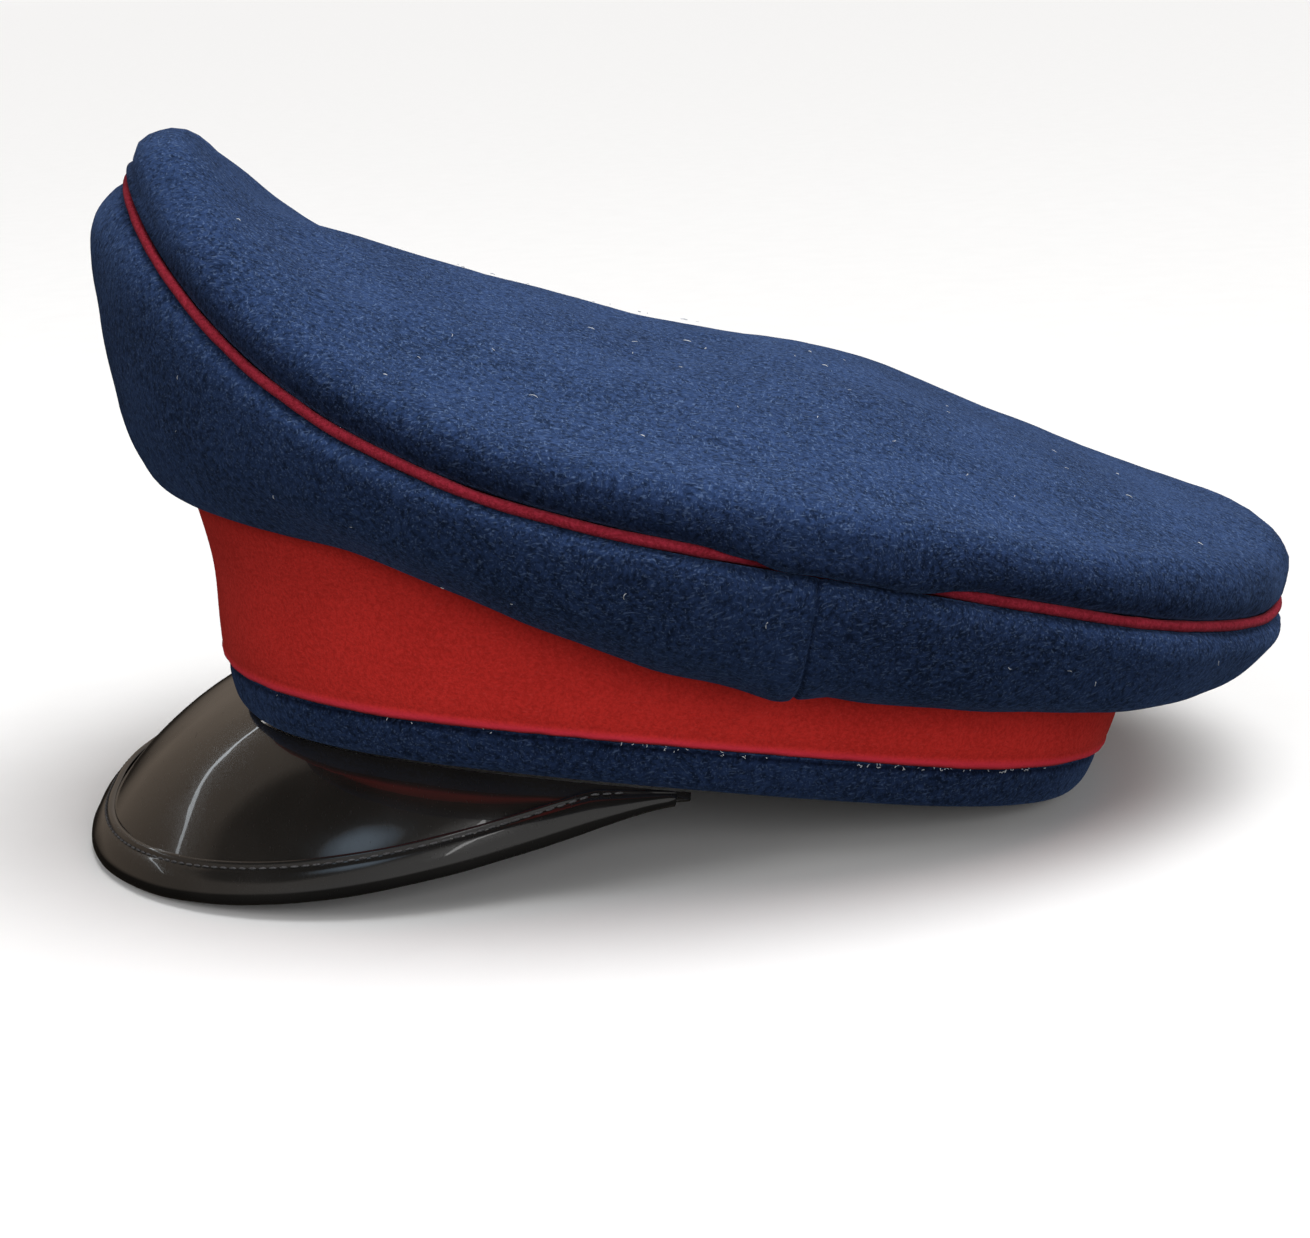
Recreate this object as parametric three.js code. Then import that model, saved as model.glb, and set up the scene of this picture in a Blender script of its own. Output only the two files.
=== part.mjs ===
// Peaked dress cap: a wide cloth crown of four quarters and a domed top, piping in the seam between
// them, a flared red band over a dark welt, and a glossy bound peak.
// Millimetres, +Z up, the cap's front towards -Y and its wearer's left towards +X.
// The cap lies as it rests on a table: on the edge of its peak and on the back of its welt.
import * as THREE from 'three';
import { mergeVertices } from 'three/addons/utils/BufferGeometryUtils.js';

// Head opening and band, measured on the outside at the lower edge
const bandHalfLength = 105.5;
const bandHalfWidth = 85.5;
const bandSetback = 1.4; // the band's centre lies this far behind the origin
const bandPower = 2.5; // power of the oval: 2 is an ellipse
const bandHeight = 47; // welt and red band together, at the back
const bandFrontRise = 6.5; // the band is this much taller at the front
const bandFlare = 13; // how far the top edge stands out past the lower edge
const bandBelly = 0.9; // slight S in the band's profile
const bandArch = 6; // the sides of the lower edge sit this much above its front and back
const weltHeight = 11;
const weltWall = 3.2;
const bandWall = 3.2;
const bandProud = 0.9; // the red cloth stands proud of the welt
const tongueHeight = 4.5; // part of the welt that reaches up behind the band's hem
const tongueWall = 1.4;
const weltFootIn = 1.1; // the welt stands on a line this far inside the lower edge
const weltFootEdge = 0.25;
const weltFootRound = 0.7; // it rounds out to its face between this height
const weltFaceFrom = 2.4; // and this one
const weltFootSoft = 0.5; // its inner edge is rounded off by this much
const weltShoulderIn = 0.3;
const hemRound = 1; // the red cloth is folded under at its lower edge
const hemRise = 0.9;
const topEdgeSoft = 1; // the band's top edge is rounded off over this height
const topEdgeRound = 0.9;
const topEdgeBack = 0.6;

// Crown
const crownHalfLength = 146;
const crownHalfWidth = 127;
const crownSetback = 4.6; // the crown's centre lies this far behind the origin
const seamFrontRise = 117.5; // height of the piped seam above the middle of the band's lower edge
const seamSideRise = 62.2;
const seamBackRise = 44.9;
const seamSweep = 6; // steepens the front of the seam line and flattens its back
const seamCornerDip = 5.3; // lowers the seam between front, sides and back
const cloth = 2.2;
const sideSeamTurn = 96; // degrees from the front
const seamTuckDepth = 2.6; // the seam is pulled in where the top hangs over it
const seamTuckTurn = 107;
const seamTuckSpread = 13;
const rollWidth = 13;
const rollHeight = 14;
const rollWaistShare = 0.42; // height of the rim's widest part, as a share of the rim's
const domeRise = 20; // middle of the top above the seam surface
const humpRise = 4.5; // low cross ridge a little behind the middle
const humpSetback = 34;
const humpSpread = 30;
const topReaches = [0.2, 0.42, 0.62, 0.78]; // rings of the top, as shares of the way to its seam
const rimTurns = [85, 50, 20, -12, -48, -90]; // points round the rim, in degrees over its waist

// Piping, and the cloth that comes to it
const pipingDiameter = 3;
const pipingOut = 0.6; // the cord's middle stands out past the seam line
const pipingSides = 6;
const seamGap = 0.35;
const seamInset = 0.9; // cloth edges end this far inside the piping's middle
const wallShoulder = 1.7; // the wall rounds in to the seam by this much
const shoulderFallShare = 1.6; // height of that rounding, as a share of its depth
const wallSteps = 12;
const wallEdgeReach = 1; // the side's cloth runs level to here, past the band's top edge
const wallEdgeLift = 0.2;
const wallTurnReach = 2.3; // and has turned down by here
const wallTurnFall = 0.4;
const wallTurnShare = 0.2; // share of the overhang's drop that it has then made
const wallTurnLift = 0.6;

// Peak
const peakLength = 49.5;
const peakSlopeFront = 46.5; // degrees below the plane of the band
const peakSlopeSide = 44;
const peakHalfTurn = 92.5;
const peakFullnessPower = 2.7;
const peakTaperPower = 1.2;
const peakBulge = 3.5; // the peak's face swells this far over a straight line from root to edge
const peakSheet = 2;
const peakTuck = 1; // root of the peak inside the welt's outer face
const peakRows = 6;
const peakEndShare = 0.97; // the sheet and its binding end at these shares of the half turn
const bindingEndShare = 0.94;
const endCrowdingShare = 0.18; // sections lie closer together towards the ends
const bindingWidth = 8; // on the upper face
const bindingUnder = 6; // and on the lower
const bindingSheet = 1.1;
const bindingNose = 1.9; // the fold stands out past the peak's edge
const noseShare = 0.75; // share of the nose at the fold's upper and lower corners
const noseRise = 0.35;
const bindingTurn = 0.6; // the fold starts this far inside the peak's edge
const bindingThinShare = 0.8; // share of the strip's thickness at its inner edge
const bindingReachShare = 0.8; // widest share of the peak's reach that the strip takes
const bindingGap = 0.5;

// Rest
const restSink = 0.5; // leather and cloth are pressed flat by this much where they meet the table
const restSkin = 0.4; // and keep at least this thickness there

const clearance = 0.35;
const ringSteps = 60;
const peakSteps = 34;
const deg = Math.PI / 180;

const navy = new THREE.MeshStandardMaterial({ color: 0x1a2748, roughness: 0.95, metalness: 0 });
const scarlet = new THREE.MeshStandardMaterial({ color: 0x9c1c20, roughness: 0.9, metalness: 0 });
const patent = new THREE.MeshStandardMaterial({ color: 0x14110f, roughness: 0.12, metalness: 0 });

// The folds of the side of the crown, by turn from the front. "low" is the bottom of the overhang, "mid"
// the lower part of the wall and "belly" its fullest part. Out is a share of the overhang from band to
// seam, drop a share of the band's height below its top edge, up a share of the way from low to seam.
const sideFolds = [
  { turn: 0, lowOut: 0.42, lowDrop: -0.02, midOut: 0.93, midUp: 0.32, bellyOut: 1.27, bellyUp: 0.83 },
  { turn: 25, lowOut: 0.41, lowDrop: -0.02, midOut: 0.92, midUp: 0.32, bellyOut: 1.21, bellyUp: 0.82 },
  { turn: 50, lowOut: 0.37, lowDrop: -0.02, midOut: 0.9, midUp: 0.32, bellyOut: 1.12, bellyUp: 0.78 },
  { turn: 75, lowOut: 0.32, lowDrop: 0.2, midOut: 0.82, midUp: 0.26, bellyOut: 1.05, bellyUp: 0.71 },
  { turn: 96, lowOut: 0.29, lowDrop: 0.395, midOut: 0.72, midUp: 0.18, bellyOut: 1.01, bellyUp: 0.62 },
  { turn: 118, lowOut: 0.29, lowDrop: 0.38, midOut: 0.72, midUp: 0.14, bellyOut: 1, bellyUp: 0.58 },
  { turn: 145, lowOut: 0.28, lowDrop: 0.34, midOut: 0.72, midUp: 0.08, bellyOut: 1, bellyUp: 0.54 },
  { turn: 180, lowOut: 0.28, lowDrop: 0.22, midOut: 0.73, midUp: 0.08, bellyOut: 1, bellyUp: 0.54 },
];

// The rounded rim of the top, by turn: how far it stands out past the seam and how wide it is, as shares
// of the rim's width, and how high it is, as a share of the rim's height.
const rimFolds = [
  { turn: 0, out: -0.26, wide: 0.72, high: 0.78 },
  { turn: 45, out: 0, wide: 0.92, high: 0.79 },
  { turn: 80, out: 0.14, wide: 1, high: 0.96 },
  { turn: 107, out: 0.26, wide: 1.1, high: 1 },
  { turn: 135, out: 0.16, wide: 1.1, high: 1.07 },
  { turn: 180, out: 0.1, wide: 1.1, high: 1.26 },
];

// The dome of the top, from its middle to its rim, as shares of the dome's rise, towards front and back.
const domeFolds = [
  { reach: 0, front: 1, back: 1 },
  { reach: 0.3, front: 0.84, back: 1.02 },
  { reach: 0.55, front: 0.66, back: 0.98 },
  { reach: 0.75, front: 0.53, back: 0.88 },
  { reach: 0.9, front: 0.5, back: 0.71 },
];

// Smooth value of one column of a table at a key between its rows.
function readTable(rows, key, at, column) {
  const last = rows.length - 1;
  let i = 0;
  while (i < last - 1 && rows[i + 1][key] < at) i += 1;
  const span = rows[i + 1][key] - rows[i][key];
  const u = Math.min(1, Math.max(0, (at - rows[i][key]) / span));
  const slope = (k) => {
    if (k === 0 || k === last) return 0;
    return (rows[k + 1][column] - rows[k - 1][column]) / (rows[k + 1][key] - rows[k - 1][key]);
  };
  const a = rows[i][column];
  const b = rows[i + 1][column];
  const u2 = u * u;
  const u3 = u2 * u;
  return (2 * u3 - 3 * u2 + 1) * a + (u3 - 2 * u2 + u) * span * slope(i)
    + (3 * u2 - 2 * u3) * b + (u3 - u2) * span * slope(i + 1);
}

// Plan point of an oval at an angle from the front; positive angles go to the wearer's left.
function ovalPoint(halfLength, halfWidth, power, centreY, angle) {
  const s = Math.sin(angle);
  const c = Math.cos(angle);
  const e = 2 / power;
  return new THREE.Vector2(
    halfWidth * Math.sign(s) * Math.abs(s) ** e,
    centreY - halfLength * Math.sign(c) * Math.abs(c) ** e,
  );
}

// Outward normal of the band's oval, in plan.
function bandNormal(angle) {
  const p = ovalPoint(bandHalfLength, bandHalfWidth, bandPower, 0, angle);
  const k = bandPower - 1;
  return new THREE.Vector2(
    Math.sign(p.x) * Math.abs(p.x / bandHalfWidth) ** k / bandHalfWidth,
    Math.sign(p.y) * Math.abs(p.y / bandHalfLength) ** k / bandHalfLength,
  ).normalize();
}

// Lower edge of the band: it arches up at the sides.
function edgeHeight(angle) {
  return -bandArch * Math.cos(angle) ** 2;
}

// Height of the band's top edge over its lower edge: it is taller towards the front.
function bandTopAt(angle) {
  return bandHeight + bandFrontRise * ((1 + Math.cos(angle)) / 2) ** 2;
}

// How far the band's outer face stands out from its lower edge, at a height above that edge.
function flareAt(height) {
  const share = height / bandHeight;
  return bandFlare * share + bandBelly * Math.sin(2 * Math.PI * share);
}

// A point of the band's section: out from the lower edge's oval, up from the lower edge.
function bandPoint(angle, out, up) {
  const p = ovalPoint(bandHalfLength, bandHalfWidth, bandPower, 0, angle);
  const n = bandNormal(angle);
  return new THREE.Vector3(p.x + n.x * out, p.y + bandSetback + n.y * out, edgeHeight(angle) + up);
}

// Smooth surface through the seam line: its height at a share of the way from the crown's centre.
function seamSurface(angle, reach) {
  const middle = (seamFrontRise + seamBackRise) / 4 + seamSideRise / 2;
  const saddle = middle - seamSideRise;
  const tilt = (seamFrontRise - seamBackRise) / 2 - seamSweep;
  return middle + tilt * reach * Math.cos(angle) + saddle * reach ** 2 * Math.cos(2 * angle)
    + seamSweep * reach ** 3 * Math.cos(3 * angle)
    + seamCornerDip * reach ** 4 * (Math.cos(4 * angle) - 1) / 2;
}

// Turn from the front in degrees, the same on both sides.
function turnOf(angle) {
  const turn = Math.abs(angle / deg) % 360;
  return turn > 180 ? 360 - turn : turn;
}

// Where the seam lies: pulled in under the overhanging rim a little behind each side seam.
function seamPlan(angle) {
  const near = (turnOf(angle) - seamTuckTurn) / seamTuckSpread;
  const tuck = seamTuckDepth * Math.exp(-near * near);
  return ovalPoint(crownHalfLength - tuck, crownHalfWidth - tuck, 2, crownSetback, angle);
}

function seamPoint(angle) {
  const p = seamPlan(angle);
  return new THREE.Vector3(p.x, p.y, seamSurface(angle, 1));
}

// The two faces of a sheet of cloth or leather along a line of (out, up) points, as offsets of half a
// thickness to either side.
function sheetRows(line, thickness) {
  const outer = [];
  const inner = [];
  line.forEach((p, i) => {
    const a = line[Math.max(0, i - 1)];
    const b = line[Math.min(line.length - 1, i + 1)];
    const n = new THREE.Vector2(b.y - a.y, a.x - b.x).normalize().multiplyScalar(thickness / 2);
    outer.push(p.clone().add(n));
    inner.push(p.clone().sub(n));
  });
  return { outer, inner };
}

// Line through a few (out, up) points, evenly sampled.
function smoothLine(points, samples) {
  const through = points.map((p) => new THREE.Vector3(p.out, p.up, 0));
  const curve = new THREE.CatmullRomCurve3(through, false, 'centripetal');
  return curve.getSpacedPoints(samples).map((p) => new THREE.Vector2(p.x, p.y));
}

// The cap's pose on the table, found from the places that touch it.
const rest = { pitch: 0, drop: 0 };

// Height of a point over the table, in the cap's own frame before it is pitched.
function heightOverTable(p) {
  return p.y * Math.sin(rest.pitch) + p.z * Math.cos(rest.pitch) - rest.drop;
}

// Presses a point that would go through the table flat onto it, or to a height above it.
function settle(p, above = 0) {
  const over = heightOverTable(p) - above;
  if (over < 0) {
    p.y -= over * Math.sin(rest.pitch);
    p.z -= over * Math.cos(rest.pitch);
  }
  return p;
}

// A solid from cross-sections that each hold an outer and an inner row of points. A loop joins its last
// section to its first; an open strip gets an end face at each end.
function sectionSolid(sections, loop) {
  const count = sections[0].outer.length;
  const ring = 2 * count;
  const vertices = [];
  for (const s of sections) {
    for (const p of s.outer) vertices.push(p.x, p.y, p.z);
    for (let i = count - 1; i >= 0; i -= 1) vertices.push(s.inner[i].x, s.inner[i].y, s.inner[i].z);
  }
  const index = [];
  const spans = loop ? sections.length : sections.length - 1;
  for (let k = 0; k < spans; k += 1) {
    const a = k * ring;
    const b = ((k + 1) % sections.length) * ring;
    for (let i = 0; i < ring; i += 1) {
      const j = (i + 1) % ring;
      index.push(a + i, b + i, b + j, a + i, b + j, a + j);
    }
  }
  if (!loop) {
    const end = (sections.length - 1) * ring;
    for (let i = 0; i < count - 1; i += 1) {
      const far = ring - 1 - i;
      index.push(i, i + 1, far - 1, i, far - 1, far);
      index.push(end + i, end + far - 1, end + i + 1, end + i, end + far, end + far - 1);
    }
  }
  return closedGeometry(vertices, index);
}

// A bowl-shaped solid: sections as above, whose rows start at a shared middle point on each face.
function bowlSolid(sections, outerMiddle, innerMiddle) {
  const count = sections[0].outer.length;
  const ring = 2 * count;
  const vertices = [];
  for (const s of sections) {
    for (const p of s.outer) vertices.push(p.x, p.y, p.z);
    for (let i = count - 1; i >= 0; i -= 1) vertices.push(s.inner[i].x, s.inner[i].y, s.inner[i].z);
  }
  const top = vertices.length / 3;
  vertices.push(outerMiddle.x, outerMiddle.y, outerMiddle.z, innerMiddle.x, innerMiddle.y, innerMiddle.z);
  const index = [];
  sections.forEach((s, k) => {
    const a = k * ring;
    const b = ((k + 1) % sections.length) * ring;
    for (let i = 0; i < ring - 1; i += 1) {
      index.push(a + i, b + i, b + i + 1, a + i, b + i + 1, a + i + 1);
    }
    index.push(top, b, a, top + 1, a + ring - 1, b + ring - 1);
  });
  return closedGeometry(vertices, index);
}

// Indexed geometry with its faces turned outwards.
function closedGeometry(vertices, index) {
  const v = (i) => new THREE.Vector3(vertices[3 * i], vertices[3 * i + 1], vertices[3 * i + 2]);
  let volume = 0;
  for (let i = 0; i < index.length; i += 3) {
    volume += v(index[i]).dot(v(index[i + 1]).cross(v(index[i + 2])));
  }
  if (volume < 0) {
    for (let i = 0; i < index.length; i += 3) {
      [index[i + 1], index[i + 2]] = [index[i + 2], index[i + 1]];
    }
  }
  const geometry = new THREE.BufferGeometry();
  geometry.setAttribute('position', new THREE.Float32BufferAttribute(vertices, 3));
  geometry.setIndex(index);
  const merged = mergeVertices(geometry, 1e-4);
  merged.computeVertexNormals();
  return merged;
}

function anglesOfRing() {
  return Array.from({ length: ringSteps }, (_, i) => (i / ringSteps) * 360 * deg);
}

function named(name, geometry, material) {
  const mesh = new THREE.Mesh(geometry, material);
  mesh.name = name;
  return mesh;
}

// Dark strip round the lower edge, rounded under, with a tongue that reaches up behind the band's hem.
function makeWelt() {
  const shoulder = weltHeight - clearance;
  const tongueTop = weltHeight + tongueHeight;
  const third = (shoulder - weltFaceFrom) / 3;
  const face = [
    { out: -weltWall + weltFootSoft, up: 0 },
    { out: -weltFootIn, up: 0 },
    { out: -weltFootEdge, up: weltFootRound },
    { out: flareAt(weltFaceFrom), up: weltFaceFrom },
    { out: flareAt(shoulder) - weltShoulderIn, up: shoulder },
    { out: flareAt(shoulder) - weltWall + tongueWall, up: shoulder },
    { out: flareAt(tongueTop) - weltWall + tongueWall, up: tongueTop },
  ];
  const back = [
    { out: -weltWall, up: restSkin },
    { out: -weltWall, up: weltFaceFrom / 2 },
    { out: flareAt(weltFaceFrom) - weltWall, up: weltFaceFrom },
    { out: flareAt(weltFaceFrom + third) - weltWall, up: weltFaceFrom + third },
    { out: flareAt(shoulder - third) - weltWall, up: shoulder - third },
    { out: flareAt(shoulder) - weltWall, up: shoulder },
    { out: flareAt(tongueTop) - weltWall, up: tongueTop },
  ];
  const sections = anglesOfRing().map((angle) => ({
    outer: face.map((p) => settle(bandPoint(angle, p.out, p.up))),
    inner: back.map((p) => settle(bandPoint(angle, p.out, p.up), restSkin)),
  }));
  return named('welt', sectionSolid(sections, true), navy);
}

// Red band: its hem laps over the welt's tongue, and above that it has its full wall.
function makeBand() {
  const lapTop = weltHeight + tongueHeight + clearance;
  const hemBack = -weltWall + tongueWall + clearance;
  const sections = anglesOfRing().map((angle) => {
    const top = bandTopAt(angle);
    const middle = (lapTop + top) / 2;
    const edge = top - topEdgeSoft;
    const hem = weltHeight + hemRise;
    const face = [
      { out: flareAt(weltHeight) + bandProud - hemRound, up: weltHeight },
      { out: flareAt(hem) + bandProud, up: hem },
      { out: flareAt(lapTop) + bandProud, up: lapTop },
      { out: flareAt(middle) + bandProud, up: middle },
      { out: flareAt(edge) + bandProud, up: edge },
      { out: flareAt(top) + bandProud - topEdgeRound, up: top },
    ];
    const back = [
      { out: flareAt(weltHeight) + hemBack, up: weltHeight },
      { out: flareAt(lapTop) + hemBack, up: lapTop },
      { out: flareAt(lapTop) - bandWall, up: lapTop },
      { out: flareAt(middle) - bandWall, up: middle },
      { out: flareAt(edge) - bandWall, up: edge },
      { out: flareAt(top) - bandWall + topEdgeBack, up: top },
    ];
    return {
      outer: face.map((p) => bandPoint(angle, p.out, p.up)),
      inner: back.map((p) => bandPoint(angle, p.out, p.up)),
    };
  });
  return named('band', sectionSolid(sections, true), scarlet);
}

// One cross-section of the crown's side: from the top of the band, over its edge, down to the bottom of
// the overhang, and up to the seam under the piping.
function sideSection(angle) {
  const turn = turnOf(angle);
  const fold = (column) => {
    const front = sideFolds.filter((row) => row.turn <= sideSeamTurn);
    const back = sideFolds.filter((row) => row.turn >= sideSeamTurn);
    return readTable(turn <= sideSeamTurn ? front : back, 'turn', turn, column);
  };
  const top = bandTopAt(angle);
  const foot = bandPoint(angle, flareAt(top) + bandProud, top);
  const seam = seamPoint(angle);
  const across = new THREE.Vector2(seam.x - foot.x, seam.y - foot.y);
  const overhang = across.length();
  across.normalize();
  const half = cloth / 2;
  const footUp = half + clearance;
  const low = half - fold('lowDrop') * bandHeight;
  const seamUp = seam.z - foot.z - pipingDiameter / 2 - seamGap;
  const rise = seamUp - low;
  const line = smoothLine([
    { out: -bandWall + topEdgeBack, up: footUp },
    { out: wallEdgeReach, up: footUp + wallEdgeLift },
    { out: half + wallTurnReach, up: Math.min(footUp - wallTurnFall, low * wallTurnShare + wallTurnLift) },
    { out: fold('lowOut') * overhang, up: low },
    { out: fold('midOut') * overhang, up: low + fold('midUp') * rise },
    { out: fold('bellyOut') * overhang, up: low + fold('bellyUp') * rise },
    { out: overhang + wallShoulder, up: seamUp - half - wallShoulder * shoulderFallShare },
    { out: overhang - seamInset, up: seamUp - half },
  ], wallSteps);
  const place = (p) => new THREE.Vector3(foot.x + across.x * p.x, foot.y + across.y * p.x, foot.z + p.y);
  const rows = sheetRows(line, cloth);
  return { outer: rows.outer.map(place), inner: rows.inner.map(place) };
}

// One quarter of the crown's side, between two seams.
function makeQuarter(name, from, to) {
  const quarterSteps = Math.round((Math.abs(to - from) / 360) * ringSteps);
  const gapAngle = clearance / 2 / crownHalfWidth;
  const start = from * deg + gapAngle * Math.sign(to - from);
  const end = to * deg - gapAngle * Math.sign(to - from);
  const sections = [];
  for (let i = 0; i <= quarterSteps; i += 1) {
    sections.push(sideSection(start + ((end - start) * i) / quarterSteps));
  }
  return named(name, sectionSolid(sections, false), navy);
}

// Height of the top's face over the band's lower edge, inside its rounded rim.
function topHeight(angle, reach) {
  const towardsFront = (1 + Math.cos(angle)) / 2;
  const rise = domeRise * (readTable(domeFolds, 'reach', reach, 'front') * towardsFront
    + readTable(domeFolds, 'reach', reach, 'back') * (1 - towardsFront));
  const alongY = crownSetback - crownHalfLength * reach * Math.cos(angle);
  const fromHump = (alongY - humpSetback) / humpSpread;
  const hump = humpRise * Math.exp(-fromHump * fromHump) * (1 - reach ** 4);
  return seamSurface(angle, reach) + rise + hump;
}

// Top of the crown: a domed sheet with a full, rounded rim that turns in to the seam.
function makeTop() {
  const sections = anglesOfRing().map((angle) => {
    const turn = turnOf(angle);
    const seam = seamPoint(angle);
    const centre = new THREE.Vector2(0, crownSetback);
    const outward = new THREE.Vector2(seam.x, seam.y).sub(centre);
    const radius = outward.length();
    outward.normalize();
    const out = rollWidth * readTable(rimFolds, 'turn', turn, 'out');
    const wide = rollWidth * readTable(rimFolds, 'turn', turn, 'wide');
    const high = rollHeight * readTable(rimFolds, 'turn', turn, 'high');
    const foot = pipingDiameter / 2 + seamGap + cloth / 2;
    const waist = foot + (high - foot) * rollWaistShare;
    const line = topReaches.map((reach) => (
      new THREE.Vector2(radius * reach, topHeight(angle, reach) - cloth / 2)
    ));
    for (const rimTurn of rimTurns) {
      const s = Math.sin(rimTurn * deg);
      const c = Math.cos(rimTurn * deg);
      const upper = rimTurn > 0;
      const outTo = upper ? radius + out - wide * (1 - c) : radius - seamInset + (out + seamInset) * c;
      const span = upper ? high - waist : waist - foot;
      line.push(new THREE.Vector2(outTo, seam.z + waist + span * s));
    }
    const rows = sheetRows(line, cloth);
    const place = (p) => new THREE.Vector3(centre.x + outward.x * p.x, centre.y + outward.y * p.x, p.y);
    return { outer: rows.inner.map(place), inner: rows.outer.map(place) };
  });
  const middle = topHeight(0, 0);
  return named('crown_top', bowlSolid(
    sections,
    new THREE.Vector3(0, crownSetback, middle),
    new THREE.Vector3(0, crownSetback, middle - cloth),
  ), navy);
}

// Round cord in the seam.
function makePiping() {
  const radius = pipingDiameter / 2;
  const sections = anglesOfRing().map((angle) => {
    const seam = seamPoint(angle);
    const outward = new THREE.Vector2(seam.x, seam.y - crownSetback).normalize();
    const points = Array.from({ length: pipingSides }, (_, i) => {
      const a = ((i + 1 / 2) / pipingSides) * 2 * Math.PI;
      const r = pipingOut + radius * Math.cos(a);
      return new THREE.Vector3(
        seam.x + outward.x * r,
        seam.y + outward.y * r,
        seam.z + radius * Math.sin(a),
      );
    });
    return { outer: points.slice(0, pipingSides / 2), inner: points.slice(pipingSides / 2).reverse() };
  });
  return named('piping', sectionSolid(sections, true), scarlet);
}

// How far the peak reaches from its root, at a share of the way to its ends.
function peakReach(share) {
  return peakLength * Math.max(0, 1 - Math.abs(share) ** peakFullnessPower) ** peakTaperPower;
}

// Frame of the peak's upper face at a share of the way to its ends: root, direction down the peak, normal.
function peakFrame(share) {
  const angle = share * peakHalfTurn * deg;
  const n = bandNormal(angle);
  const slope = (peakSlopeFront + (peakSlopeSide - peakSlopeFront) * share ** 2) * deg;
  return {
    root: bandPoint(angle, -peakTuck, -clearance),
    down: new THREE.Vector3(n.x * Math.cos(slope), n.y * Math.cos(slope), -Math.sin(slope)),
    normal: new THREE.Vector3(n.x * Math.sin(slope), n.y * Math.sin(slope), Math.cos(slope)),
    reach: peakReach(share),
  };
}

// A point on the peak: along from the root and up from its swelling upper face.
function peakPoint(frame, along, up) {
  const share = along / frame.reach;
  const steep = (4 * peakBulge * (1 - 2 * Math.min(1, share))) / peakLength;
  const swell = share < 1
    ? (4 * peakBulge * share * (1 - share) * frame.reach) / peakLength
    : steep * (along - frame.reach);
  const normal = frame.normal.clone().addScaledVector(frame.down, -steep).normalize();
  return frame.root.clone()
    .addScaledVector(frame.down, along)
    .addScaledVector(frame.normal, swell)
    .addScaledVector(normal, up);
}

function sharesOfPeak(steps, last) {
  return Array.from({ length: steps + 1 }, (_, i) => {
    const u = (2 * i) / steps - 1;
    return last * u * (1 + endCrowdingShare * (1 - u * u));
  });
}

// Stiff sheet of the peak.
function makePeak() {
  const sections = sharesOfPeak(peakSteps, peakEndShare).map((share) => {
    const frame = peakFrame(share);
    const along = Array.from({ length: peakRows }, (_, i) => (frame.reach * i) / (peakRows - 1));
    return {
      outer: along.map((a) => peakPoint(frame, a, 0)),
      inner: along.map((a) => peakPoint(frame, a, -peakSheet)),
    };
  });
  return named('peak', sectionSolid(sections, false), patent);
}

// Outer and inner faces of the binding's section: along from the peak's edge, and up from its face.
function bindingSection(frame) {
  const fit = Math.min(1, (bindingReachShare * frame.reach) / bindingWidth);
  const top = bindingGap + bindingSheet;
  const under = -peakSheet - bindingGap;
  const corner = bindingNose * noseShare;
  const outer = [
    { along: -bindingWidth * fit, up: bindingGap + bindingSheet * bindingThinShare },
    { along: (-bindingWidth * fit) / 2, up: top },
    { along: -bindingTurn, up: top },
    { along: corner, up: noseRise },
    { along: bindingNose, up: -peakSheet / 2 },
    { along: corner, up: -peakSheet - noseRise },
    { along: -bindingTurn, up: under - bindingSheet },
    { along: -bindingUnder * fit, up: under - bindingSheet },
  ];
  const inner = [
    { along: -bindingWidth * fit, up: bindingGap },
    { along: (-bindingWidth * fit) / 2, up: bindingGap },
    { along: -bindingTurn, up: bindingGap },
    { along: bindingGap, up: bindingGap },
    { along: bindingGap, up: -peakSheet / 2 },
    { along: bindingGap, up: under },
    { along: -bindingTurn, up: under },
    { along: -bindingUnder * fit, up: under },
  ];
  const place = (p) => peakPoint(frame, frame.reach + p.along, p.up);
  return { outer: outer.map(place), inner: inner.map(place) };
}

// Folded strip stitched round the peak's edge.
function makeBinding() {
  const sections = sharesOfPeak(peakSteps, bindingEndShare).map((share) => {
    const section = bindingSection(peakFrame(share));
    return {
      outer: section.outer.map((p) => settle(p)),
      inner: section.inner.map((p) => settle(p, restSkin)),
    };
  });
  return named('peak_binding', sectionSolid(sections, false), patent);
}

// The pitch at which the cap's front comes up until the peak's edge and the back of the welt share a plane.
function findRest() {
  const back = bandPoint(Math.PI, -weltFootIn, 0);
  let pitch = 0;
  for (const share of sharesOfPeak(peakSteps, bindingEndShare)) {
    for (const p of bindingSection(peakFrame(share)).outer) {
      pitch = Math.max(pitch, Math.atan2(back.z - p.z, back.y - p.y));
    }
  }
  rest.pitch = -pitch;
  rest.drop = heightOverTable(back) + restSink;
}

findRest();
const cap = new THREE.Group();
cap.add(
  makeWelt(),
  makeBand(),
  makeQuarter('quarter_front_left', 0, sideSeamTurn),
  makeQuarter('quarter_back_left', sideSeamTurn, 180),
  makeQuarter('quarter_front_right', 0, -sideSeamTurn),
  makeQuarter('quarter_back_right', -sideSeamTurn, -180),
  makeTop(),
  makePiping(),
  makePeak(),
  makeBinding(),
);

// Stand the cap on the table, with the origin under the middle of its box.
cap.rotation.x = rest.pitch;
const object = new THREE.Group();
object.add(cap);
object.updateMatrixWorld(true);
const box = new THREE.Box3().setFromObject(object, true);
object.position.set(0, -(box.min.y + box.max.y) / 2, -box.min.z);

export default object;
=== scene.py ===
import math

import bmesh
import bpy
import numpy as np
from mathutils import Matrix, Vector

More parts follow.
